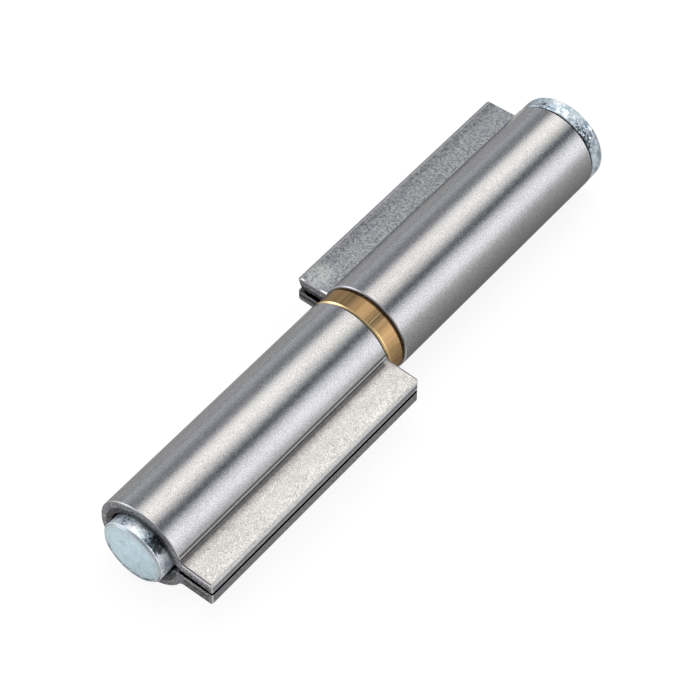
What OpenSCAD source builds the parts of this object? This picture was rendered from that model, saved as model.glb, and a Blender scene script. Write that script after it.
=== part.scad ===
// Weld-on hinge with a removable headed pin.
// The pin's axis is the Y axis and its head is at the +Y end. The frame's leaf reaches out
// along +X and the door's leaf along -X. The origin is on the axis, at half the overall length.
// Everything is in millimetres.

/* [Pin] */
// Diameter of the pin's shank
pin_d = 14; // [10:0.5:18]
// How far the shank's plain end stands out of the frame's knuckle
pin_reach = 2.8; // [1.5:0.1:6]
// Chamfer round the plain end
pin_chamfer = 0.45; // [0.2:0.05:0.8]
// How much less the head reaches out than the barrel does
head_inset = 0.1; // [0:0.05:0.4]
// Thickness of the head
head_t = 4.1; // [2.6:0.1:6]
// Rounding of the head's outer rim
head_round = 1.4; // [0.4:0.1:2]
// Chamfer of the head's rim on the side of the door's knuckle
head_chamfer = 0.3; // [0.1:0.05:0.6]

/* [Knuckles] */
// Thickness of the sheet that both knuckles are rolled from
sheet_t = 2.92; // [2.6:0.02:3.4]
// Length of the frame's knuckle
frame_len = 60; // [40:1:90]
// Length of the door's knuckle
door_len = 61; // [40:1:90]
// Chamfer round the outer edge of each cut end
end_chamfer = 0.25; // [0.1:0.05:0.4]
// Chamfer round the bore at each cut end
mouth_chamfer = 0.3; // [0.1:0.05:0.5]

/* [Leaves] */
// Distance from the pin's axis to a leaf's tip
leaf_reach = 17; // [15.5:0.1:24]
// Distance from the pin's axis to the plane of the upper sheet's outer face
upper_face = 3.28; // [3:0.02:3.6]
// Distance from the pin's axis to the plane of the lower sheet's outer face
lower_face = 3.87; // [3.6:0.02:4.4]
// Thickness of the upper sheet, which the press has thinned
pressed_t = 2.5; // [2.1:0.05:2.6]
// Thickness of the door leaf's lower sheet, which the press has thinned too
door_lower_t = 2.5; // [2.3:0.05:2.9]
// Thickness of that sheet at its tip, where shearing has left a raised lip
door_tip_t = 3.55; // [3:0.05:3.6]
// Length of the lip
door_lip = 1.3; // [0.8:0.1:2]
// Angle by which the upper sheet leans down towards the lower one, in degrees
upper_lean = 3; // [1:0.5:3.5]
// Height of the edge of the pressed shoulder above the pin's axis
shoulder_z = 4; // [3.7:0.1:4.6]
// Angle of the shoulder's wall from upright, in degrees
shoulder_draft = 15; // [5:1:18]
// Fillet at the foot of the shoulder
shoulder_fillet = 0.35; // [0.2:0.05:0.6]
// Outer fillet between the barrel and the leaf's lower face
root_fillet = 1.2; // [0.6:0.1:2]
// Inner bend radius of the upper sheet
upper_bend = 6; // [4:0.5:7]
// Inner bend radius of the lower sheet
lower_bend = 4; // [3:0.5:5]
// Edge rounding on a tip's sharp, sheared side
sharp_round = 0.3; // [0.15:0.05:0.5]
// Edge rounding on a tip's drawn-in side
drawn_round = 0.7; // [0.4:0.05:1.1]
// Edge rounding of a sheet where the gap opens at the tip
mouth_round = 0.1; // [0.05:0.05:0.3]
// The same on the raised lip
lip_round = 0.6; // [0.3:0.05:0.9]
// Rounding of a leaf's corners, seen on its broad face
corner_round = 0.6; // [0.3:0.1:1.5]

/* [Bearing ring] */
// How much less the ring reaches out than the barrel does
ring_inset = 0.15; // [0:0.05:0.4]
// Thickness of the ring
ring_t = 4.8; // [3:0.1:7]
// Chamfer of the ring's outer edges
ring_chamfer = 0.45; // [0.1:0.05:0.6]

/* [Fits] */
// Radial clearance between the shank and every bore
bore_fit = 0.08; // [0.02:0.01:0.1]
// Clearance between two faces along the pin
end_play = 0.1; // [0.05:0.01:0.2]

/* [Hidden] */
$fn = 96;
// Margin by which a cutter runs past the face that it cuts
over = 1;
// How far the inner bends reach into the bore, so that they cross its wall at an angle
bend_bite = 0.08;

pin_r = pin_d / 2;
bore_r = pin_r + bore_fit;
barrel_r = bore_r + sheet_t;
head_r = barrel_r - head_inset;
ring_r = barrel_r - ring_inset;

// Stations along the pin, from its plain end to its head
overall_len = pin_reach + frame_len + ring_t + door_len + head_t + 3 * end_play;
pin_y0 = -overall_len / 2;
frame_y0 = pin_y0 + pin_reach;
frame_y1 = frame_y0 + frame_len;
ring_y0 = frame_y1 + end_play;
ring_y1 = ring_y0 + ring_t;
door_y0 = ring_y1 + end_play;
door_y1 = door_y0 + door_len;
head_y0 = door_y1 + end_play;
head_y1 = head_y0 + head_t;

// Where the gap's upper face lies, measured like the outer face
gap_upper = upper_face - pressed_t;

// A lower sheet is given as its thickness, that at its tip, and the edge roundings at the
// tip on its outer side and in the gap
frame_lower = [sheet_t, sheet_t, drawn_round, mouth_round];
door_lower = [door_lower_t, door_tip_t, sharp_round, lip_round];

// Directions in which the shoulder's wall and the upper sheet's face look
shoulder_normal = [cos(shoulder_draft), sin(shoulder_draft)];
upper_normal = [sin(upper_lean), cos(upper_lean)];
shoulder_edge = [sqrt(pow(barrel_r, 2) - pow(shoulder_z, 2)), shoulder_z];

// Turns a point about the origin
function turn(p, a) = [p[0] * cos(a) - p[1] * sin(a), p[0] * sin(a) + p[1] * cos(a)];

// Where two lines cross, each given by its normal and its distance from the origin
function crossing(n1, d1, n2, d2) =
    [d1 * n2[1] - d2 * n1[1], n1[0] * d2 - n2[0] * d1] / (n1[0] * n2[1] - n1[1] * n2[0]);

// Centre of a circle of radius r that touches the circle of radius r_round about the axis
// from outside, and a level line at height z from above
function seat(r_round, r, z) = [sqrt(pow(r_round + r, 2) - pow(z + r, 2)), z + r];

// Where that circle touches the one about the axis
function touch(r_round, centre) = centre * r_round / norm(centre);

// What is cut off the corner of a shape, at the origin with the shape below and to the left
module corner_cut(r) {
    difference() {
        translate([-r, -r]) square(r + over);
        translate([-r, -r]) circle(r);
    }
}

// Extrudes a section drawn in X and Z along the pin
module along_pin(y0, y1) {
    translate([0, y1, 0]) rotate([90, 0, 0]) linear_extrude(y1 - y0) children();
}

// Turns a profile drawn as radius and station about the pin's axis
module turned() {
    rotate([-90, 0, 0]) rotate_extrude() children();
}

// One of the leaf's two sheets, with its outer face level and looking up
module leaf_sheet(reach, face, thickness, outer_round, gap_round) {
    difference() {
        translate([0, face - thickness]) square([reach, thickness]);
        translate([reach, face]) corner_cut(outer_round);
        translate([reach, face - thickness]) mirror([0, 1]) corner_cut(gap_round);
    }
}

// Fillet at the foot of the shoulder, on the upper sheet
module shoulder_foot() {
    wall = shoulder_edge * shoulder_normal;
    foot = crossing(shoulder_normal, wall, upper_normal, upper_face);
    centre = crossing(shoulder_normal, wall + shoulder_fillet, upper_normal, upper_face + shoulder_fillet);
    difference() {
        polygon([
            foot - shoulder_normal - upper_normal,
            centre - shoulder_fillet * shoulder_normal,
            centre,
            centre - shoulder_fillet * upper_normal
        ]);
        translate(centre) circle(shoulder_fillet);
    }
}

// Fillet that carries the barrel's underside into the lower sheet, drawn with the sheet looking up
module lower_root() {
    centre = seat(barrel_r, root_fillet, lower_face);
    foot = touch(barrel_r, centre);
    difference() {
        polygon([[foot[0], lower_face - over], foot, centre, [centre[0], lower_face - over]]);
        translate(centre) circle(root_fillet);
    }
}

// Both sheets of a leaf, from the pin's axis to the tip, where the two end in one line
module leaf_outline(upper_round, lower_sheet) {
    leaned_reach = (leaf_reach - upper_face * sin(upper_lean)) / cos(upper_lean);
    rotate(-upper_lean) leaf_sheet(leaned_reach, upper_face, pressed_t, upper_round, mouth_round);
    shoulder_foot();
    mirror([0, 1]) {
        leaf_sheet(leaf_reach, lower_face, lower_sheet[1], lower_sheet[2], lower_sheet[3]);
        lower_root();
    }
}

// The space that the rolled sheet encloses beside the pin, and the gap between its two ends
module leaf_slot(lower_sheet) {
    gap_lower = lower_face - lower_sheet[0];
    gap_tip = lower_face - lower_sheet[1];
    lip_x = leaf_reach - door_lip;
    lip_rise = gap_lower - gap_tip;
    lip_edge = lip_rise > 0 ? [[lip_x, -gap_tip], [lip_x - lip_rise, -gap_lower]] : [];
    meet_r = bore_r - bend_bite;
    upper = seat(meet_r, upper_bend, gap_upper);
    lower = seat(meet_r, lower_bend, gap_lower);
    mouth_x = leaf_reach + over;
    difference() {
        polygon(concat(
            [[0, 0],
            turn(touch(meet_r, upper), -upper_lean),
            turn([upper[0], gap_upper], -upper_lean),
            turn([mouth_x, gap_upper], -upper_lean),
            [mouth_x, -gap_tip]],
            lip_edge,
            [[lower[0], -gap_lower],
            touch(meet_r, [lower[0], -lower[1]])]
        ));
        translate(turn(upper, -upper_lean)) circle(upper_bend);
        mirror([0, 1]) translate(lower) circle(lower_bend);
    }
}

// Barrel with both ends chamfered, and the shoulder that the press has cut into its flank
module barrel(y0, y1) {
    down = [sin(shoulder_draft), -cos(shoulder_draft)];
    start = shoulder_edge - over * down;
    finish = shoulder_edge + (upper_face + over) * down;
    outer_x = barrel_r + over;
    difference() {
        turned() polygon([
            [0, y0],
            [barrel_r - end_chamfer, y0],
            [barrel_r, y0 + end_chamfer],
            [barrel_r, y1 - end_chamfer],
            [barrel_r - end_chamfer, y1],
            [0, y1]
        ]);
        along_pin(y0 - over, y1 + over)
            polygon([start, finish, [outer_x, finish[1]], [outer_x, start[1]]]);
    }
}

// The bore, with a chamfered mouth at both ends
module bore(y0, y1) {
    mouth_r = bore_r + mouth_chamfer + over;
    turned() polygon([
        [0, y0 - over],
        [mouth_r, y0 - over],
        [bore_r, y0 + mouth_chamfer],
        [bore_r, y1 - mouth_chamfer],
        [mouth_r, y1 + over],
        [0, y1 + over]
    ]);
}

// What rounds a leaf's corner at the station y, seen on the leaf's broad face
module leaf_corner_cut(y, outward) {
    translate([leaf_reach, y, -lower_face - over])
        mirror([0, outward < 0 ? 1 : 0, 0])
            linear_extrude(lower_face + upper_face + 2 * over) corner_cut(corner_round);
}

// One sheet rolled round the pin, with its two ends laid together as a leaf along +X
module rolled_knuckle(y0, y1, upper_round, lower_sheet) {
    difference() {
        union() {
            barrel(y0, y1);
            along_pin(y0, y1) leaf_outline(upper_round, lower_sheet);
        }
        bore(y0, y1);
        along_pin(y0 - over, y1 + over) leaf_slot(lower_sheet);
        leaf_corner_cut(y0, -1);
        leaf_corner_cut(y1, 1);
    }
}

module frame_knuckle() {
    color("darkgray") rolled_knuckle(frame_y0, frame_y1, sharp_round, frame_lower);
}

// The door's half is the same section turned end for end, so its leaf points the other way
module door_knuckle() {
    color("silver") rotate([0, 0, 180]) rolled_knuckle(-door_y1, -door_y0, drawn_round, door_lower);
}

module bearing_ring() {
    color("darkgoldenrod") difference() {
        turned() polygon([
            [0, ring_y0],
            [ring_r - ring_chamfer, ring_y0],
            [ring_r, ring_y0 + ring_chamfer],
            [ring_r, ring_y1 - ring_chamfer],
            [ring_r - ring_chamfer, ring_y1],
            [0, ring_y1]
        ]);
        along_pin(ring_y0 - over, ring_y1 + over) circle(bore_r);
    }
}

module hinge_pin() {
    color("lightsteelblue") turned() difference() {
        polygon([
            [0, pin_y0],
            [pin_r - pin_chamfer, pin_y0],
            [pin_r, pin_y0 + pin_chamfer],
            [pin_r, head_y0],
            [head_r - head_chamfer, head_y0],
            [head_r, head_y0 + head_chamfer],
            [head_r, head_y1],
            [0, head_y1]
        ]);
        translate([head_r, head_y1]) corner_cut(head_round);
    }
}

frame_knuckle();
door_knuckle();
bearing_ring();
hinge_pin();
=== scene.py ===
"""Looks for a weld-on hinge with a removable headed pin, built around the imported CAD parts.

The pin's axis is Y with its head at +Y, the frame's leaf reaches out along +X and the door's leaf
along -X. Blender's lengths are metres, and the lengths written here are millimetres that MM turns
into metres, unless a comment says otherwise. Angles about the axis are degrees from +X towards +Z.
"""

import math

import bmesh
import bpy
from mathutils import Matrix, Vector


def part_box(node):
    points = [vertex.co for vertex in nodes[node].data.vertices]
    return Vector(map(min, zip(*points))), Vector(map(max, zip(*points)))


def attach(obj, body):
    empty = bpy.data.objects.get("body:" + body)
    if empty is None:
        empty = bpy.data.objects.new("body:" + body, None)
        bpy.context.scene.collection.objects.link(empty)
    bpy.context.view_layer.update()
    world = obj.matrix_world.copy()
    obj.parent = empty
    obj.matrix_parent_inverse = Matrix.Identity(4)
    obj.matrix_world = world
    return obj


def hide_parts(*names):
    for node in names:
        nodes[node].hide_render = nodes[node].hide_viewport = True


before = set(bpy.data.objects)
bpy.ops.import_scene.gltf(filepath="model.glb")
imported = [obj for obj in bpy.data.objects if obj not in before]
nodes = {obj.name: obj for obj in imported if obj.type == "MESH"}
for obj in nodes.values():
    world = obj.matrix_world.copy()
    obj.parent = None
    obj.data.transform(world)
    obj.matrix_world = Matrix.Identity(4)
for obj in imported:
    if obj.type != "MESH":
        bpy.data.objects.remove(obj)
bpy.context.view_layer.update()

MM = 0.001


def ends_along_axis(node_name):
    """The stations of the node's two ends along Y, to the nearest thousandth."""
    low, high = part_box(node_name)
    return round(low[1] / MM, 3), round(high[1] / MM, 3)


FRAME_ENDS = ends_along_axis("frame_knuckle")
DOOR_ENDS = ends_along_axis("door_knuckle")
RING_ENDS = ends_along_axis("bearing_ring")
PIN_ENDS = ends_along_axis("hinge_pin")
HEAD_THICK = 4.1
BARREL_R = 10.0
PIN_R = 7.0
# The flat of the pin's plain end, inside its chamfer
FACE_R = 6.55
# How far the upper sheet of a leaf drops for each unit that it reaches out
LEAN = 0.0524
FLOOR_HALF = 3000.0
# The floor's strength as the camera sees it, a little over plain white
FLOOR_GLOW = 1.07

# Camera, in metres, which looks down on the hinge from beyond the frame's end
CAMERA_PLACE = Vector((0.20786, -0.26209, 0.41825))
CAMERA_FORWARD = Vector((-0.38802, 0.48295, -0.78499)).normalized()
CAMERA_RIGHT = Vector((0.77743, 0.62897, 0.00268)).normalized()
LENS = 142.65
SENSOR = 36.0

scene = bpy.context.scene
scene.view_settings.view_transform = "Standard"


def add_camera():
    data = bpy.data.cameras.new("camera")
    data.lens = LENS
    data.sensor_width = SENSOR
    data.clip_start = 0.01
    data.clip_end = 20
    camera = bpy.data.objects.new("camera", data)
    scene.collection.objects.link(camera)
    up = CAMERA_RIGHT.cross(CAMERA_FORWARD)
    axes = Matrix((CAMERA_RIGHT, up, -CAMERA_FORWARD)).transposed()
    camera.matrix_world = Matrix.Translation(CAMERA_PLACE) @ axes.to_4x4()
    scene.camera = camera


class Graph:
    """Builds a node tree in short lines. A value is a number or another node's socket."""

    def __init__(self, tree):
        self.tree = tree
        tree.nodes.clear()

    def add(self, kind, **settings):
        node = self.tree.nodes.new(kind)
        for name, value in settings.items():
            setattr(node, name, value)
        return node

    def link(self, source, target):
        self.tree.links.new(source, target)

    def feed(self, socket, value):
        """Links a socket's value, or sets it where the value is a number or a colour."""
        if isinstance(value, bpy.types.NodeSocket):
            self.link(value, socket)
        else:
            socket.default_value = value

    def feed_all(self, node, *values):
        """Feeds the node's first inputs in their order, and gives its first output."""
        for socket, value in zip(node.inputs, values):
            self.feed(socket, value)
        return node.outputs[0]

    def math(self, operation, *values):
        return self.feed_all(self.add("ShaderNodeMath", operation=operation), *values)

    def times(self, first, *others):
        """The product of all the values."""
        for other in others:
            first = self.math("MULTIPLY", first, other)
        return first

    def either(self, a, b):
        """The larger of two values: one where either mask is one."""
        return self.math("MAXIMUM", a, b)

    def invert(self, mask):
        """One where the mask is nought, and nought where it is one."""
        return self.math("SUBTRACT", 1.0, mask)

    def step(self, value, low, high, to_low=0.0, to_high=1.0, kind="SMOOTHSTEP"):
        """A smooth step from to_low at low to to_high at high, held at both ends."""
        node = self.add("ShaderNodeMapRange", interpolation_type=kind)
        return self.feed_all(node, value, low, high, to_low, to_high)

    def stretch(self, value, low, high, to_low=0.0, to_high=1.0):
        """The same along a straight line."""
        return self.step(value, low, high, to_low, to_high, "LINEAR")

    def pick(self, mask, outside, inside):
        """The outside value where the mask is nought, and the inside one where it is one."""
        return self.stretch(mask, 0, 1, outside, inside)

    def band(self, value, rise, fall):
        """One between two steps, each a pair of the values where it starts and ends."""
        return self.times(self.step(value, *rise), self.step(value, *fall))

    def curve(self, value, pairs, top):
        """A smooth curve through pairs of a rising value and a level from nought to top."""
        first, last = pairs[0][0], pairs[-1][0]
        node = self.add("ShaderNodeFloatCurve")
        curve = node.mapping.curves[0]
        while len(curve.points) < len(pairs):
            curve.points.new(0.5, 0.5)
        for point, (start, level) in zip(curve.points, pairs):
            point.location = ((start - first) / (last - first), level / top)
        node.mapping.update()
        self.feed(node.inputs["Value"], self.stretch(value, first, last))
        return self.times(node.outputs[0], top)

    def mix(self, factor, a, b, blend="MIX"):
        """Colour a where the factor is nought and b where it is one."""
        node = self.add("ShaderNodeMix", data_type="RGBA", blend_type=blend)
        self.feed(node.inputs["Factor"], factor)
        self.feed(node.inputs[6], rgba(a))
        self.feed(node.inputs[7], rgba(b))
        return node.outputs[2]

    def tint(self, a, b):
        """The product of two colours."""
        return self.mix(1.0, a, b, "MULTIPLY")

    def mix_vector(self, factor, a, b):
        node = self.add("ShaderNodeMix", data_type="VECTOR")
        self.feed(node.inputs["Factor"], factor)
        self.feed(node.inputs[4], a)
        self.feed(node.inputs[5], b)
        return node.outputs[1]

    def mix_shader(self, factor, a, b):
        return self.feed_all(self.add("ShaderNodeMixShader"), factor, a, b)

    def part_of(self, vector, axis):
        """The X, Y or Z part of a vector."""
        node = self.add("ShaderNodeSeparateXYZ")
        self.link(vector, node.inputs[0])
        return node.outputs[axis]

    def noise(self, vector, scale, detail=3.0, roughness=0.55, distortion=0.0):
        node = self.add("ShaderNodeTexNoise")
        self.feed(node.inputs["Vector"], vector)
        node.inputs["Scale"].default_value = scale
        node.inputs["Detail"].default_value = detail
        node.inputs["Roughness"].default_value = roughness
        node.inputs["Distortion"].default_value = distortion
        return node.outputs["Fac"]

    def scaled(self, vector, factors):
        return self.feed_all(self.add("ShaderNodeVectorMath", operation="MULTIPLY"), vector, factors)

    def bump(self, height, strength, distance, normal):
        node = self.add("ShaderNodeBump")
        node.inputs["Strength"].default_value = strength
        node.inputs["Distance"].default_value = distance * MM
        self.feed(node.inputs["Height"], height)
        self.feed(node.inputs["Normal"], normal)
        return node.outputs["Normal"]

    def combine(self, x, y, z):
        return self.feed_all(self.add("ShaderNodeCombineXYZ"), x, y, z)

    def length(self, x, z):
        squares = self.math("MULTIPLY_ADD", z, z, self.times(x, x))
        return self.math("SQRT", squares)

    def grey(self, value):
        return self.feed_all(self.add("ShaderNodeCombineColor"), value, value, value)

    def rounded_edge(self, radius):
        """A normal that rounds the solid's edges by that radius."""
        node = self.add("ShaderNodeBevel", samples=6)
        node.inputs["Radius"].default_value = radius * MM
        return node.outputs["Normal"]

    def edge_mask(self, radius, blunt=0.8):
        """One along the solid's edges and nought on its faces.

        Blunt is the cosine between a face and its rounded edge that already counts in full.
        """
        own = self.add("ShaderNodeNewGeometry")
        alike = self.add("ShaderNodeVectorMath", operation="DOT_PRODUCT")
        self.link(self.rounded_edge(radius), alike.inputs[0])
        self.link(own.outputs["Normal"], alike.inputs[1])
        return self.stretch(alike.outputs["Value"], 0.85 + 0.15 * blunt, blunt)

    def turn_about_y(self, x, z):
        """The angle from +X towards +Z, in degrees."""
        return self.math("DEGREES", self.math("ARCTAN2", z, x))


def rgba(colour):
    """A colour given as three numbers gets its alpha, and a socket is left as it is."""
    if isinstance(colour, (tuple, list)) and len(colour) == 3:
        return (*colour, 1.0)
    return colour


def new_material(name):
    material = bpy.data.materials.new(name)
    material.use_nodes = True
    return material, Graph(material.node_tree)


def give(node_name, material):
    """The CAD node shows that material."""
    node = nodes[node_name]
    for slot in node.material_slots:
        slot.material = material


def places(g):
    """Object coordinates in millimetres, whole and in parts, and the parts of the normal."""
    coords = g.add("ShaderNodeTexCoord")
    where = g.scaled(coords.outputs["Object"], (1 / MM, 1 / MM, 1 / MM))
    place = g.add("ShaderNodeSeparateXYZ")
    g.link(where, place.inputs[0])
    facing = g.add("ShaderNodeSeparateXYZ")
    g.link(coords.outputs["Normal"], facing.inputs[0])
    return where, place.outputs, facing.outputs


def finish_metal(g, colour, roughness, normal, rim=1.0):
    """A bare metal, whose reflection at a grazing angle is rim times the plain one."""
    shader = g.add("ShaderNodeBsdfPrincipled")
    shader.inputs["Metallic"].default_value = 1.0
    shader.inputs["Specular Tint"].default_value = (rim, rim, rim, 1)
    g.feed(shader.inputs["Base Color"], colour)
    g.feed(shader.inputs["Roughness"], roughness)
    g.feed(shader.inputs["Normal"], normal)
    output = g.add("ShaderNodeOutputMaterial")
    g.link(shader.outputs[0], output.inputs["Surface"])
    return shader


class Steel:
    """Bare rolled steel: a satin barrel, a flatter mottled leaf and sheared ends, with the gap and
    bore painted dark as shade.

    Side is 1 or -1, the way the leaf points along X, and leaf is a table such as FRAME_LEAF.
    """

    def __init__(self, name, side, leaf):
        self.material, self.g = new_material(name)
        self.leaf = leaf
        g = self.g
        self.where, place, self.facing = places(g)
        self.y, self.z = place["Y"], place["Z"]
        self.out_x = g.times(place["X"], side)
        self.radius = g.length(place["X"], self.z)

        self.speckle = g.noise(self.where, 4.2, 2.0, 0.65)
        self.patches = g.noise(self.where, leaf["patches"], 3.0, 0.6)
        self.torn = g.noise(self.where, 2.9, 4.0, 0.75)

        along = g.math("ABSOLUTE", self.facing["Y"])
        self.on_leaf = g.step(self.out_x, 9.1, 9.3)
        self.past_barrel = g.step(self.radius, BARREL_R - 0.1, BARREL_R + 0.3)
        self.on_end = g.step(along, 0.8, 0.92)
        self.on_chamfer = g.times(g.step(along, 0.3, 0.6), g.invert(self.on_end))
        self.faces_side = g.step(g.math("ABSOLUTE", self.facing["X"]), 0.6, 0.9)
        self.on_tip = self.tip()
        self.sheared = g.either(self.on_end, self.on_tip)
        self.height = self.height_in_sheet()
        self.inside = self.painted_bore_and_gap_shade()

    def tip(self):
        """The leaf's sheared tip, with the corner of the sheet that the shears have drawn round."""
        g, leaf = self.g, self.leaf
        corner = g.step(self.out_x, leaf["corner_from"], leaf["corner_from"] + 0.3)
        drawn_sheet = g.step(self.z, -1.0, -1.4)
        if leaf["upper_is_drawn"]:
            drawn_sheet = g.invert(drawn_sheet)
        flat = g.times(self.faces_side, g.step(self.out_x, 16.2, 16.6))
        return g.either(flat, g.times(corner, drawn_sheet))

    def height_in_sheet(self):
        """Z, but in the upper sheet, which leans, counted square to its own face."""
        g = self.g
        drop = g.math("MULTIPLY_ADD", self.out_x, LEAN, -0.5)
        drop = g.times(drop, g.step(self.z, -0.6, -0.3))
        return g.math("ADD", self.z, drop)

    def painted_bore_and_gap_shade(self):
        """Inside the bore and between the sheets, where shade is painted near black."""
        g, floor_z = self.g, self.leaf["gap_floor"]
        roof_z = g.step(self.out_x, 16.0, 16.4, 1.0, -0.3)
        gap = g.times(
            g.step(self.z, floor_z - 0.15, floor_z - 0.03),
            g.step(g.math("SUBTRACT", roof_z, self.z), -0.08, 0.08),
            g.step(self.out_x, 6.4, 6.9),
            g.invert(self.sheared),
        )
        return g.either(gap, g.step(self.radius, PIN_R + 0.5, PIN_R + 0.35))

    def rolled_faces(self, barrel_tone, lines):
        """The colour of the barrel and of the leaf's broad faces, with painted light and shade near
        the leaf's root.
        """
        g, leaf = self.g, self.leaf
        leaf_tone = g.mix(g.stretch(self.patches, 0.4, 0.6), leaf["tone"], leaf["second_tone"])
        # Painted light: the barrel is lighter just above the leaf's root, against the shade that the
        # leaf casts there
        foot = g.times(g.step(self.z, 7.6, 6.6), g.step(self.out_x, 6.0, 6.8), leaf["foot"])
        barrel = g.mix(foot, barrel_tone, (0.85, 0.85, 0.86))
        tone = g.mix(self.on_leaf, barrel, leaf_tone)

        # Each noise moves the brightness about one, by a share on the barrel and one on the leaf
        clouds = g.noise(g.scaled(self.where, (1.0, 0.35, 1.0)), 0.16, 3.0, 0.6)
        grain = 1.0
        for noise, on_barrel, on_leaf in (
            (self.speckle, 1.4, leaf["speckle"]),
            (self.patches, 0.25, leaf["mottle"]),
            (clouds, 0.25, leaf["clouds"]),
        ):
            centred = g.math("SUBTRACT", noise, 0.5)
            share = g.pick(self.on_leaf, on_barrel, on_leaf)
            grain = g.math("MULTIPLY_ADD", centred, share, grain)

        # Painted shade across the leaf, darker where the barrel shades its root
        shade = 1.0
        for start, stop, before, after in lines:
            shade = g.times(g.step(self.out_x, start, stop, before, after), shade)
        if leaf["far_end"] is not None:
            # Near the ring the painted shade runs out, save a fainter painted shade beside the
            # barrel
            plain = g.step(self.y, leaf["far_end"] - 1.5, leaf["far_end"] - 1.0)
            shade = g.pick(plain, shade, g.step(self.out_x, 10.2, 12.5, 0.62, 1.0))
        grain = g.times(grain, g.pick(self.on_leaf, 1.0, shade))
        return g.tint(tone, g.grey(grain))

    def cut_marks_and_painted_light(self, colour):
        """Beside the cuts on the leaf's broad face: a frosted patch, with painted highlight spots
        and painted dark lines along the cuts.
        """
        g, leaf = self.g, self.leaf
        if leaf["frosted"] is not None:
            frost_x, frost_y = leaf["frosted"]
            off_x = g.math("SUBTRACT", self.out_x, frost_x)
            off_y = g.math("SUBTRACT", self.y, frost_y)
            frost = g.step(g.length(off_x, g.times(off_y, 0.8)), 3.4, 1.2)
            frost = g.times(frost, self.on_leaf, g.stretch(self.patches, 0.3, 0.55), 0.75)
            colour = g.mix(frost, colour, (0.56, 0.57, 0.56))
            # Painted highlight: bright spots on the upward faces along the cut's edge
            at_edge = g.step(self.y, frost_y - 2.4, frost_y - 2.6)
            upward = g.step(self.facing["Z"], 0.5, 0.8)
            outer_spot = g.band(self.out_x, (15.2, 15.5), (16.5, 16.2))
            painted_highlight_spots = g.either(outer_spot, g.step(self.out_x, 11.5, 11.0))
            painted_highlight_spots = g.times(at_edge, self.on_leaf, upward, painted_highlight_spots)
            colour = g.mix(painted_highlight_spots, colour, (0.95, 0.95, 0.97))
        # Painted shade: a dark line along the edge of each cut
        for end, start, stop, level in (
            (leaf["far_end"], -0.3, -0.15, 0.12),
            (leaf["near_end"], 0.28, 0.16, 0.09),
        ):
            if end is not None:
                line = g.times(g.step(self.y, end + start, end + stop), self.on_leaf, 0.85)
                colour = g.mix(line, colour, (level, level, level + 0.002))
        return colour

    def cuts(self, colour):
        """The cut ends and the tip."""
        g, leaf = self.g, self.leaf
        # The ends are torn and dark towards the bore, and smoother towards the outside
        ring_level = g.step(self.radius, 8.3, 8.9, 0.1, 0.27)
        sheet_level = g.curve(self.height, leaf["end_levels"], 0.8)
        smooth = g.times(self.past_barrel, g.step(self.height, 1.9, 2.2))
        rag = g.pick(smooth, g.stretch(self.torn, 0.38, 0.62, 0.2, 1.8), 1.0)
        end_level = g.times(g.pick(self.past_barrel, ring_level, sheet_level), rag)
        # The tip is burnished along the top of the upper sheet, and torn below
        tip_rag = g.stretch(self.torn, 0.38, 0.62, 0.6, 1.4)
        turned_under = g.band(self.z, (-0.6, -0.4), (0.6, 0.1))
        torn_level = g.times(tip_rag, leaf["torn"], g.pick(turned_under, 1.0, 1.8))
        burnished = g.step(self.z, 1.18, 1.5, 0.0, leaf["burnish"])
        tip_level = g.pick(burnished, torn_level, g.math("MULTIPLY_ADD", tip_rag, 0.45, 0.25))
        level = g.pick(self.on_tip, end_level, tip_level)
        return g.mix(self.sheared, colour, g.tint(g.grey(level), (1.0, 0.99, 1.02)))

    def painted_shoulder_lines(self, colour):
        """Painted highlight and painted shade along the shoulder: a bright line, with a dark one
        beside it.
        """
        g, wall = self.g, self.leaf["wall"]
        dark = g.times(g.band(self.out_x, (9.0, 9.08), (9.24, 9.2)), wall)
        bright = g.band(self.out_x, (9.23, 9.26), (9.34, 9.31))
        bright = g.times(self.faces_side, bright, wall)
        colour = g.mix(dark, colour, (0.17, 0.17, 0.172))
        return g.mix(bright, colour, (0.75, 0.75, 0.77))

    def edges(self):
        """A mask of the solid's edges, but not in the gap or along the top of the near cut."""
        g, leaf = self.g, self.leaf
        edge = g.either(g.edge_mask(0.16), self.on_chamfer)
        edge = g.times(edge, g.invert(self.inside), leaf["edges"])
        if leaf["near_end"] is not None:
            on_top = g.times(g.step(self.facing["Z"], 0.3, 0.6), self.past_barrel)
            top_edge = g.either(on_top, g.step(self.height, 2.5, 2.6))
            top_edge = g.times(top_edge, self.past_barrel, g.step(self.out_x, 16.3, 16.0))
            edge = g.times(edge, g.invert(top_edge))
        return edge

    def painted_edge_light(self, rounded):
        """Painted highlight on edges that face the pin's plain end, brighter towards the barrel's
        outer rim, and painted shade on those that face its head.
        """
        g = self.g
        rim = g.step(self.radius, BARREL_R - 0.13, BARREL_R - 0.08, 0.16, 0.62)
        worn = g.mix(self.on_chamfer, (0.66, 0.66, 0.67), g.grey(rim))
        far = g.step(g.part_of(rounded, "Y"), 0.2, 0.45)
        return g.mix(far, worn, (0.07, 0.07, 0.072))

    def soft_normal(self, rounded):
        """The rounded normal, rounder where the shears have drawn the sheet's end down."""
        g, drawn_end = self.g, self.leaf["drawn_end"]
        if drawn_end is None:
            return rounded
        near_end = g.step(self.y, drawn_end + 1.3, drawn_end + 1.1)
        drawn = g.times(near_end, g.step(self.z, 1.3, 1.5), self.on_leaf)
        return g.mix_vector(drawn, rounded, g.rounded_edge(0.35))


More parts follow.
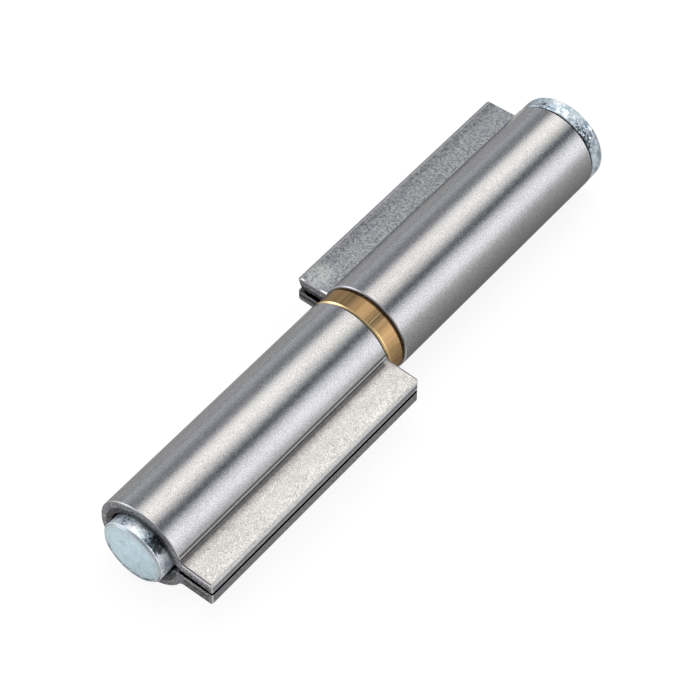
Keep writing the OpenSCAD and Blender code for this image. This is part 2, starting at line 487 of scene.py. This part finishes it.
def steel_material(name, side, barrel_tone, leaf, lines):
    steel = Steel(name, side, leaf)
    g = steel.g
    colour = steel.rolled_faces(barrel_tone, lines)
    colour = steel.cut_marks_and_painted_light(colour)
    colour = steel.cuts(colour)
    colour = steel.painted_shoulder_lines(colour)
    # Painted shade: the bore and the gap between the sheets are near black
    colour = g.mix(steel.inside, colour, (0.006, 0.006, 0.007))
    # Painted light along the edges, bright or dark by the way each edge faces
    edge = steel.edges()
    rounded = g.rounded_edge(0.13)
    colour = g.mix(edge, colour, steel.painted_edge_light(rounded))

    rough = g.pick(steel.on_leaf, 0.23, leaf["rough"])
    rough = g.math("MULTIPLY_ADD", g.math("SUBTRACT", steel.patches, 0.5), 0.12, rough)
    rough = g.pick(steel.sheared, rough, 0.5)
    rough = g.pick(edge, rough, 0.3)

    relief = g.math("MULTIPLY_ADD", steel.patches, g.pick(steel.on_leaf, 0.35, 1.0), steel.speckle)
    relief = g.math("MULTIPLY_ADD", g.times(steel.torn, steel.sheared), 2.0, relief)
    normal = g.bump(relief, 0.6, 0.025, steel.soft_normal(rounded))
    finish_metal(g, colour, rough, normal, rim=0.6)
    return steel.material


# Painted light round the ring, as pairs of an angle and a share of the plain tone
RING_PAINTED_LIGHT = (
    (-40, 1.2), (0, 1.35), (12, 1.25), (24, 1.65), (36, 1.6), (48, 1.08), (60, 1.45), (72, 0.88),
    (84, 0.8), (96, 0.97), (108, 1.15), (120, 1.3), (140, 1.5), (170, 1.5),
)
# The angle of the one scratch along the ring
SCRATCH_AT = 64.0


def brass_material(near_y, far_y):
    """Turned brass with faint streaks along its axis and painted light round it, between the
    stations of its two ends.
    """
    material, g = new_material("brass_turned")
    where, place, facing = places(g)
    y = place["Y"]
    turn = g.turn_about_y(place["X"], place["Z"])
    on_end = g.step(g.math("ABSOLUTE", facing["Y"]), 0.85, 0.95)
    near_chamfer = g.step(facing["Y"], -0.3, -0.55)
    far_chamfer = g.step(facing["Y"], 0.3, 0.55)

    streaks = g.noise(g.scaled(where, (1.0, 0.06, 1.0)), 1.5, 3.0, 0.6)
    stripes = g.noise(g.scaled(where, (1.0, 0.05, 1.0)), 0.26, 2.0, 0.5)
    mixed = g.math("MULTIPLY_ADD", stripes, 0.6, g.times(streaks, 0.4))
    tone = g.mix(g.stretch(mixed, 0.4, 0.6), (0.245, 0.155, 0.072), (0.42, 0.28, 0.135))
    # Painted light and shade by the angle round the ring
    tone = g.tint(tone, g.grey(g.curve(turn, RING_PAINTED_LIGHT, 2.0)))
    tarnish = g.times(g.step(turn, 118, 145), 0.75)
    tone = g.mix(tarnish, tone, (0.36, 0.30, 0.25))
    # Painted highlight: a lighter gold band beside the near chamfer, on the side that faces the
    # bright light
    painted_near_highlight = g.times(g.step(y, near_y + 0.85, near_y + 0.5), g.step(turn, 66, 50), 0.9)
    tone = g.mix(painted_near_highlight, tone, (0.8, 0.57, 0.27))

    # The scratch is bright, with a dark bruise round it
    off = g.math("ABSOLUTE", g.math("SUBTRACT", turn, SCRATCH_AT))
    tone = g.mix(g.step(off, 2.6, 1.2, 0.0, 0.5), tone, (0.16, 0.10, 0.05))
    tone = g.mix(g.step(off, 0.9, 0.4), tone, (0.75, 0.58, 0.33))

    # Painted highlight on both chamfers, and painted shade in a dark line beside each where the ring
    # meets a barrel and on both end faces
    beside = g.times(g.step(y, far_y - 0.78, far_y - 0.7), g.invert(far_chamfer))
    tone = g.mix(beside, tone, (0.06, 0.035, 0.02))
    past_line = g.step(y, near_y + 0.12, near_y + 0.18)
    near_tone = g.mix(past_line, (0.1, 0.06, 0.03), (0.85, 0.64, 0.33))
    tone = g.mix(near_chamfer, tone, near_tone)
    tone = g.mix(far_chamfer, tone, (0.62, 0.41, 0.21))
    tone = g.mix(on_end, tone, (0.05, 0.03, 0.015))

    rough = g.stretch(streaks, 0.3, 0.7, 0.22, 0.36)
    normal = g.bump(streaks, 0.35, 0.02, g.rounded_edge(0.1))
    finish_metal(g, tone, rough, normal, rim=0.45)
    return material


# Painted light on the zinc round the pin's head and round its plain end, as pairs of an angle and a
# value: how bright it is, how far painted glints cover it, and how densely dark specks lie, pits
# that are partly painted dark reflection
HEAD_ZINC_PAINTED = {
    "bright": (
        (-40, 0.65), (-20, 0.7), (-8, 0.75), (4, 0.78), (16, 0.7), (28, 0.52), (40, 0.3),
        (52, 0.48), (64, 0.78), (76, 0.66), (88, 0.78), (100, 1.2), (112, 0.6), (124, 0.66),
        (136, 0.45), (150, 0.25), (180, 0.3),
    ),
    "patches": (
        (-40, 0.1), (20, 0.1), (40, 0.6), (56, 1.0), (72, 0.6), (88, 1.0), (104, 0.9),
        (114, 0.15), (180, 0.1),
    ),
    "specks": (
        (-40, 0.1), (10, 0.12), (26, 0.25), (38, 0.8), (56, 0.75), (68, 0.4), (84, 0.1),
        (100, 0.12), (110, 0.7), (118, 0.6), (128, 0.15), (180, 0.1),
    ),
}
END_ZINC_PAINTED = {
    "bright": (
        (0, 1.5), (20, 1.6), (30, 0.6), (44, 0.32), (56, 0.4), (65, 1.3), (78, 0.85), (95, 1.7),
        (108, 1.1), (124, 0.85), (138, 0.85), (152, 0.05), (180, 0.05),
    ),
    "patches": (
        (0, 0.2), (20, 0.9), (34, 0.5), (60, 0.5), (76, 1.0), (98, 1.0), (110, 0.2), (126, 1.0),
        (140, 0.2), (180, 0.1),
    ),
    "specks": (
        (0, 0.1), (24, 0.2), (34, 0.8), (44, 1.1), (56, 0.95), (66, 0.4), (80, 0.05), (100, 0.15),
        (112, 0.6), (122, 0.15), (138, 0.45), (180, 0.4),
    ),
}


def zinc_material(end_y, head_y):
    """Zinc plate: pale blue-white and mottled, scuffed at the plain end and speckled at the head,
    with painted light by angle.

    end_y and head_y are the stations of the plain end and of the head's underside.
    """
    material, g = new_material("zinc_plated")
    where, place, facing = places(g)
    y, z = place["Y"], place["Z"]
    radius = g.length(place["X"], z)
    turn = g.turn_about_y(place["X"], z)
    along = g.math("ABSOLUTE", facing["Y"])
    on_face = g.step(along, 0.85, 0.95)
    head_half = g.step(y, 0.0, 1.0)
    # The length that the knuckles cover gets no painted light and is even
    showing = g.either(g.step(y, end_y + 9, end_y + 3.5), g.step(y, head_y - 0.3, head_y - 0.1))

    patches = g.noise(where, 0.9, 4.0, 0.65, 0.4)
    specks = g.noise(where, 1.8, 3.0, 0.75)
    clouds = g.noise(where, 0.42, 2.0, 0.5, 0.6)
    mottle = g.math("MULTIPLY_ADD", clouds, 0.4, g.times(patches, 0.6))

    def around(name, top):
        """The value at this angle, of the plain end's half or the head's."""
        at_end = g.curve(turn, END_ZINC_PAINTED[name], top)
        return g.pick(head_half, at_end, g.curve(turn, HEAD_ZINC_PAINTED[name], top))

    # The round sides, with painted light by angle and painted glints in bright patches
    side_tone = g.mix(g.stretch(mottle, 0.42, 0.58), (0.40, 0.52, 0.60), (0.98, 1.1, 1.15))
    side_tone = g.tint(side_tone, g.grey(g.pick(showing, 0.62, around("bright", 2.0))))
    glint_noise = g.step(g.noise(where, 0.62, 3.0, 0.6, 0.5), 0.5, 0.6)
    painted_glints = g.times(g.pick(showing, 0.2, around("patches", 1.0)), glint_noise)
    side_tone = g.mix(painted_glints, side_tone, (0.84, 0.93, 0.98))

    # The flat faces, with faint turning marks
    turning = g.noise(g.combine(radius, 0.0, g.times(patches, 0.9)), 2.3, 3.0, 0.6)
    face_mix = g.math("MULTIPLY_ADD", turning, 0.3, g.times(mottle, 0.7))
    face_tone = g.mix(g.stretch(face_mix, 0.4, 0.62), (0.46, 0.60, 0.655), (0.70, 0.845, 0.91))
    face_tone = g.mix(g.step(radius, 3.5, 6.6, 0.0, 0.5), face_tone, (0.50, 0.585, 0.615))
    face_tone = g.tint(face_tone, g.grey(g.pick(head_half, 1.0, 0.8)))
    # The plain end's face is scuffed in arcs along its lower rim, inside a broken hairline
    low = g.times(g.step(z, 0.0, -3.0), g.step(patches, 0.42, 0.52))
    arcs = g.noise(g.combine(g.times(radius, 3.0), 0.0, g.times(turn, 0.05)), 1.5, 3.0, 0.6)
    near_rim = g.step(radius, FACE_R - 0.95, FACE_R - 0.55)
    scuffs = g.times(low, near_rim, g.step(arcs, 0.4, 0.5))
    hairline = g.band(radius, (FACE_R - 0.27, FACE_R - 0.22), (FACE_R - 0.12, FACE_R - 0.15))
    hairline = g.times(hairline, g.step(patches, 0.42, 0.5, 0.1, 0.6))
    scuffs = g.times(g.either(scuffs, hairline), g.invert(head_half))
    face_tone = g.mix(scuffs, face_tone, (0.09, 0.10, 0.105))
    tone = g.mix(on_face, side_tone, face_tone)

    # Dark specks: pits in the plate on the head beside the barrel, and on the plain end's side pits
    # gathered into a dark patch that is painted dark reflection
    beside_barrel = g.step(y, head_y + 2.6, head_y + 0.7, 0.35, 1.0)
    pits_and_painted_dark = g.times(around("specks", 1.2), g.pick(head_half, 1.0, beside_barrel))
    pits_and_painted_dark = g.times(g.pick(showing, 0.1, pits_and_painted_dark), g.invert(on_face))
    bar = g.math("MULTIPLY_ADD", pits_and_painted_dark, -0.26, 0.69)
    pits = g.step(g.math("SUBTRACT", specks, bar), -0.03, 0.04)
    fine_pits = g.step(g.noise(where, 4.3, 2.0, 0.6), 0.64, 0.7)
    pits = g.either(pits, g.times(fine_pits, g.math("SUBTRACT", 0.7, on_face)))
    tone = g.mix(g.times(pits, 0.93), tone, (0.02, 0.026, 0.032))

    # The plain end's chamfer is duller, and darker in patches on its lower half; its two edges carry
    # a broken painted highlight
    on_chamfer = g.times(g.step(along, 0.3, 0.6), g.invert(on_face))
    on_chamfer = g.times(on_chamfer, g.step(radius, PIN_R + 0.2, PIN_R + 0.1))
    chamfer_tone = g.mix(g.times(low, 0.7), (0.40, 0.46, 0.48), (0.08, 0.09, 0.1))
    tone = g.mix(on_chamfer, tone, chamfer_tone)
    face_edge = g.band(radius, (FACE_R - 0.13, FACE_R - 0.09), (FACE_R + 0.03, FACE_R))
    side_edge = g.band(y, (end_y + 0.38, end_y + 0.42), (end_y + 0.62, end_y + 0.58))
    edge = g.either(g.times(face_edge, on_face), side_edge)
    broken_highlight = g.step(g.noise(where, 0.9, 3.0, 0.6), 0.36, 0.5, 0.3, 0.95)
    edge = g.times(edge, g.pick(head_half, 0.9, 0.0), broken_highlight)
    tone = g.mix(edge, tone, (1.0, 1.0, 1.0))

    # Painted shade: the head's underside is near black
    under = g.band(y, (head_y - 0.3, head_y - 0.2), (head_y + 0.2, head_y + 0.12))
    under = g.times(under, g.step(radius, PIN_R, PIN_R + 0.1))
    tone = g.mix(under, tone, (0.012, 0.012, 0.012))

    rough = g.pick(painted_glints, g.stretch(clouds, 0.35, 0.65, 0.28, 0.42), 0.2)
    relief = g.math("MULTIPLY_ADD", patches, 2.0, specks)
    relief = g.times(relief, g.pick(on_face, 1.0, 0.3))
    normal = g.bump(relief, 0.9, 0.04, g.rounded_edge(0.1))
    shader = finish_metal(g, tone, rough, normal, rim=0.8)
    shader.inputs["Metallic"].default_value = 0.75
    return material


# Painted shade on the floor as metal reflects it, darkest close beside the hinge: pairs of the
# distance from the axis, rising towards the side of the frame's leaf, and a level
FLOOR_REFLECTED_SHADE = (
    (-250, 0.9), (-150, 0.72), (-30, 0.74), (-15, 0.85), (0, 0.6), (12, 0.36), (25, 0.43),
    (40, 0.57), (65, 0.66), (120, 0.9), (180, 1.0),
)


def add_floor():
    """A matt floor that the camera sees as white, with the hinge's shadow on it and painted shade
    where metal reflects it.
    """
    half, height = FLOOR_HALF * MM, -BARREL_R * MM
    mesh = bpy.data.meshes.new("floor")
    corners = [(x * half, y * half, height) for x, y in ((-1, -1), (1, -1), (1, 1), (-1, 1))]
    mesh.from_pydata(corners, [], [(0, 1, 2, 3)])
    floor = bpy.data.objects.new("floor", mesh)
    scene.collection.objects.link(floor)

    material, g = new_material("floor_white")
    path = g.add("ShaderNodeLightPath").outputs
    seen = g.either(path["Is Camera Ray"], path["Is Glossy Ray"])
    seen = g.either(seen, path["Is Transmission Ray"])
    matte = g.add("ShaderNodeBsdfDiffuse")
    matte.inputs["Color"].default_value = (0.93, 0.93, 0.93, 1)
    glow = g.add("ShaderNodeEmission")
    glow.inputs["Color"].default_value = (1, 1, 1, 1)
    _, place, _ = places(g)
    reflected_shade = g.curve(place["X"], FLOOR_REFLECTED_SHADE, 1.0)
    # The painted shade is even beside the frame's leaf, and none past the pin's plain end
    leaf_side = g.times(g.step(place["X"], 0.0, 8.0), g.step(place["Y"], 8.0, -2.0))
    reflected_shade = g.pick(leaf_side, reflected_shade, 0.85)
    alongside = g.step(place["Y"], PIN_ENDS[0] - 9.5, PIN_ENDS[0] - 0.5)
    reflected_shade = g.pick(alongside, 1.0, reflected_shade)
    g.feed(glow.inputs["Strength"], g.pick(path["Is Camera Ray"], reflected_shade, FLOOR_GLOW))
    lit = g.mix_shader(g.times(seen, 0.8), matte.outputs[0], glow.outputs[0])

    # From below the floor is clear, so that the hinge's underside can be seen
    clear = g.add("ShaderNodeBsdfTransparent").outputs[0]
    under = g.add("ShaderNodeNewGeometry").outputs["Backfacing"]
    surface = g.mix_shader(g.times(under, path["Is Camera Ray"]), lit, clear)
    output = g.add("ShaderNodeOutputMaterial")
    g.link(surface, output.inputs["Surface"])
    mesh.materials.append(material)


# The studio's brightness round the pin's axis, as pairs of an angle and a level
STUDIO = (
    (-10, 0.9), (0, 1.2), (8, 1.7), (16, 1.9), (24, 1.95), (34, 1.75), (44, 1.25), (52, 0.55),
    (60, 0.08), (66, 0.26), (76, 1.05), (88, 1.65), (99, 2.05), (110, 1.9), (122, 1.36), (131, 0.4),
    (142, 0.42), (164, 0.9), (180, 0.45), (195, 0.4),
)
STUDIO_TOP = 2.5
# Its brightness towards the pin's plain end, above and on the side of the door's leaf
STUDIO_FRONT = (0.55, 3.0)

# Its tint, as pairs of an angle and a colour
STUDIO_TINTS = (
    (-10, (0.95, 0.935, 1.0)), (24, (0.99, 0.97, 1.0)), (48, (0.92, 0.94, 1.0)),
    (61, (0.5, 0.72, 1.0)), (74, (1.0, 1.0, 1.0)), (99, (1.0, 0.955, 0.92)),
    (116, (1.0, 0.98, 0.95)), (131, (0.86, 0.9, 1.0)), (195, (0.94, 0.945, 1.0)),
)


def add_world():
    """A dome of soft light with two bright bands and a dark one between them, all along Y.

    Towards the pin's plain end the bands give way to a dim light above and a bright one beside it.
    """
    world = bpy.data.worlds.new("studio")
    world.use_nodes = True
    g = Graph(world.node_tree)
    coords = g.add("ShaderNodeTexCoord")
    ways = g.add("ShaderNodeSeparateXYZ")
    g.link(coords.outputs["Generated"], ways.inputs[0])
    degrees = g.turn_about_y(ways.outputs["X"], ways.outputs["Z"])
    bands = g.curve(degrees, STUDIO, STUDIO_TOP)
    first, last = STUDIO[0][0], STUDIO[-1][0]
    tint = g.add("ShaderNodeValToRGB")
    stops = tint.color_ramp.elements
    while len(stops) < len(STUDIO_TINTS):
        stops.new(0.5)
    for stop, (turn, colour) in zip(stops, STUDIO_TINTS):
        stop.position = (turn - first) / (last - first)
        stop.color = (*colour, 1)
    g.feed(tint.inputs["Fac"], g.stretch(degrees, first, last))
    studio = g.add("ShaderNodeBackground")
    g.feed(studio.inputs["Color"], tint.outputs["Color"])
    front = g.step(ways.outputs["Y"], 0.0, -0.5)
    front_level = g.step(degrees, 135, 165, *STUDIO_FRONT)
    g.feed(studio.inputs["Strength"], g.pick(front, bands, front_level))

    # The camera sees plain white past the floor's edge
    white = g.add("ShaderNodeBackground")
    white.inputs["Color"].default_value = (1, 1, 1, 1)
    path = g.add("ShaderNodeLightPath").outputs
    seen = g.either(path["Is Camera Ray"], path["Is Transmission Ray"])
    output = g.add("ShaderNodeOutputWorld")
    g.link(g.mix_shader(seen, studio.outputs[0], white.outputs[0]), output.inputs["Surface"])
    scene.world = world


def level_at(value, pairs):
    """The level at a value, on straight lines through the pairs."""
    for (start, low), (stop, high) in zip(pairs, pairs[1:]):
        if value <= stop:
            share = max(0.0, (value - start) / (stop - start))
            return low + (high - low) * share
    return pairs[-1][1]


# Where the cuts round a corner lie, as shares of its radius
CORNER_CUTS = (0.08, 0.3, 0.62, 1.0)
# The wear starts at this reach from the axis, and the burr at that one
TIP_FROM = 15.5
BURR_FROM = 16.0
# The upper sheet's underside lies at a height between these
UNDERSIDE = (-0.2, 0.0)


def wear_planes(side, tip, corners):
    """The planes that cut the leaf wherever its wear bends, as pairs of a point and a normal."""
    planes = [((0, 0, height * MM), (0, 0, 1)) for height, _ in tip]
    middle = sum(station for station, _ in corners) / 2
    for station, radius in corners:
        inward = 1 if station < middle else -1
        for share in CORNER_CUTS:
            planes.append(((0, (station + inward * radius * share) * MM, 0), (0, 1, 0)))
    planes.append(((side * BURR_FROM * MM, 0, 0), (1, 0, 0)))
    return planes


def worn_reach(place, tip, corners):
    """How far out from the axis the worn leaf still reaches at that place."""
    limit = level_at(place.z / MM, tip)
    for station, radius in corners:
        short = radius - abs(place.y / MM - station)
        if short > 0:
            limit -= radius - math.sqrt(max(0.0, radius * radius - short * short))
    return limit


def worn_copy(node_name, side, tip, corners, burr):
    """A copy of the node that stands for it, with its leaf's tip and upright corners worn round.

    The shears have drawn the upper sheet's lower edge down into the gap by the burr.
    """
    mesh = nodes[node_name].data.copy()
    piece = bpy.data.objects.new(node_name + "_worn", mesh)
    scene.collection.objects.link(piece)
    bm = bmesh.new()
    bm.from_mesh(mesh)
    for place, normal in wear_planes(side, tip, corners):
        faces = [
            face for face in bm.faces
            if max(vert.co.x * side for vert in face.verts) > TIP_FROM * MM
        ]
        edges = {edge for face in faces for edge in face.edges}
        verts = {vert for face in faces for vert in face.verts}
        near_tip = faces + list(edges) + list(verts)
        bmesh.ops.bisect_plane(bm, geom=near_tip, plane_co=place, plane_no=normal)
    for vert in bm.verts:
        reach = vert.co.x * side / MM
        if reach > TIP_FROM:
            vert.co.x = min(reach, worn_reach(vert.co, tip, corners)) * side * MM
            if reach > BURR_FROM + 0.1 and UNDERSIDE[0] < vert.co.z / MM < UNDERSIDE[1]:
                vert.co.z -= burr * MM
    bm.to_mesh(mesh)
    bm.free()
    custom = mesh.attributes.get("custom_normal")
    if custom is not None:
        mesh.attributes.remove(custom)
    mesh.shade_smooth()
    mesh.set_sharp_from_angle(angle=math.radians(30))
    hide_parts(node_name)
    return piece


add_camera()
add_floor()
add_world()

# Brightness of a leaf's cut end, as pairs of the height and a level
FRAME_END_LEVELS = (
    (-3.9, 0.3), (-3.5, 0.13), (-3.0, 0.21), (-2.5, 0.12), (-2.0, 0.1), (-1.5, 0.32), (-1.1, 0.16),
    (0.4, 0.17), (1.0, 0.21), (1.5, 0.29), (1.85, 0.34), (2.05, 0.48), (2.25, 0.85), (2.4, 0.8),
    (2.6, 0.3), (2.8, 0.12),
)
DOOR_END_LEVELS = (
    (-3.9, 0.25), (-3.3, 0.2), (-3.0, 0.16), (-2.6, 0.06), (-2.2, 0.07), (-1.8, 0.2), (-1.55, 0.2),
    (-1.2, 0.07), (0.3, 0.06), (0.9, 0.07), (1.2, 0.19), (1.6, 0.24), (2.1, 0.22), (2.5, 0.3),
    (2.8, 0.4),
)

# What differs between the two leaves. None means that the leaf doesn't show that mark.
FRAME_LEAF = {
    "tone": (0.655, 0.64, 0.62),
    "second_tone": (0.64, 0.63, 0.61),
    # Strengths of the fine speckle, the patches and the clouds, and the patches' scale
    "speckle": 2.0,
    "mottle": 0.7,
    "clouds": 0.35,
    "patches": 0.9,
    "rough": 0.55,
    # Painted light on the barrel above the leaf's root, painted highlight and shade along the
    # shoulder, and painted light and shade along the edges
    "foot": 0.0,
    "wall": 1.0,
    "edges": 0.8,
    # The cut ends and the tip
    "end_levels": FRAME_END_LEVELS,
    "gap_floor": -0.95,
    "upper_is_drawn": False,
    "corner_from": 15.9,
    "burnish": 1.0,
    "torn": 0.24,
    # Stations of the end drawn down by the shears, and of the cuts with a painted dark line
    "drawn_end": None,
    "near_end": FRAME_ENDS[0],
    "far_end": FRAME_ENDS[1],
    # The middle of a frosted patch, as its reach from the axis and its station
    "frosted": None,
}
DOOR_LEAF = {
    "tone": (0.265, 0.295, 0.325),
    "second_tone": (0.33, 0.33, 0.328),
    "speckle": 2.6,
    "mottle": 1.5,
    "clouds": 0.45,
    "patches": 1.5,
    "rough": 0.45,
    "foot": 0.8,
    "wall": 0.0,
    "edges": 0.7,
    "end_levels": DOOR_END_LEVELS,
    "gap_floor": -1.37,
    "upper_is_drawn": True,
    "corner_from": 16.0,
    "burnish": 0.4,
    "torn": 0.14,
    "drawn_end": DOOR_ENDS[0],
    "near_end": None,
    "far_end": None,
    "frosted": (13.8, DOOR_ENDS[0] + 2.9),
}
# Painted shade across a leaf, darkest beside the frame leaf's root and darker towards each tip: from
# and to that reach from the axis, and the share before and after
FRAME_PAINTED_SHADE = (
    (9.6, 11.9, 0.42, 1.0), (9.9, 10.35, 0.55, 1.0), (13.0, 16.0, 1.0, 1.04),
    (16.3, 16.8, 1.0, 0.78),
)
DOOR_PAINTED_SHADE = ((13.2, 15.4, 1.0, 0.76),)
BARREL_TONE = (0.42, 0.42, 0.42)

# How far the tip of a leaf reaches, as pairs of the height and the reach
FRAME_TIP = ((-3.87, 16.7), (-3.6, 16.92), (-3.3, 17.0), (2.3, 17.0))
DOOR_TIP = (
    (-3.87, 16.7), (-3.6, 16.92), (-3.3, 17.0), (-2.1, 17.0), (-1.6, 16.9), (-1.1, 16.67),
    (-0.7, 16.4), (-0.4, 16.15), (-0.2, 16.05), (0.1, 16.15), (0.5, 16.4), (1.2, 16.7),
    (1.9, 16.93), (2.3, 17.0),
)
# Stations of the two ends of a leaf and the radii of its corners there
FRAME_CORNERS = ((FRAME_ENDS[0], 0.25), (FRAME_ENDS[1], 0.6))
DOOR_CORNERS = ((DOOR_ENDS[0], 0.4), (DOOR_ENDS[1], 0.5))
FRAME_BURR = 0.3
DOOR_BURR = 0.0

frame_worn = worn_copy("frame_knuckle", 1, FRAME_TIP, FRAME_CORNERS, FRAME_BURR)
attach(frame_worn, "frame_half")
frame_steel = steel_material("steel_frame", 1, BARREL_TONE, FRAME_LEAF, FRAME_PAINTED_SHADE)
frame_worn.data.materials.clear()
frame_worn.data.materials.append(frame_steel)
door_worn = worn_copy("door_knuckle", -1, DOOR_TIP, DOOR_CORNERS, DOOR_BURR)
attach(door_worn, "door_half")
door_steel = steel_material("steel_door", -1, BARREL_TONE, DOOR_LEAF, DOOR_PAINTED_SHADE)
door_worn.data.materials.clear()
door_worn.data.materials.append(door_steel)
give("bearing_ring", brass_material(*RING_ENDS))
give("hinge_pin", zinc_material(PIN_ENDS[0], PIN_ENDS[1] - HEAD_THICK))
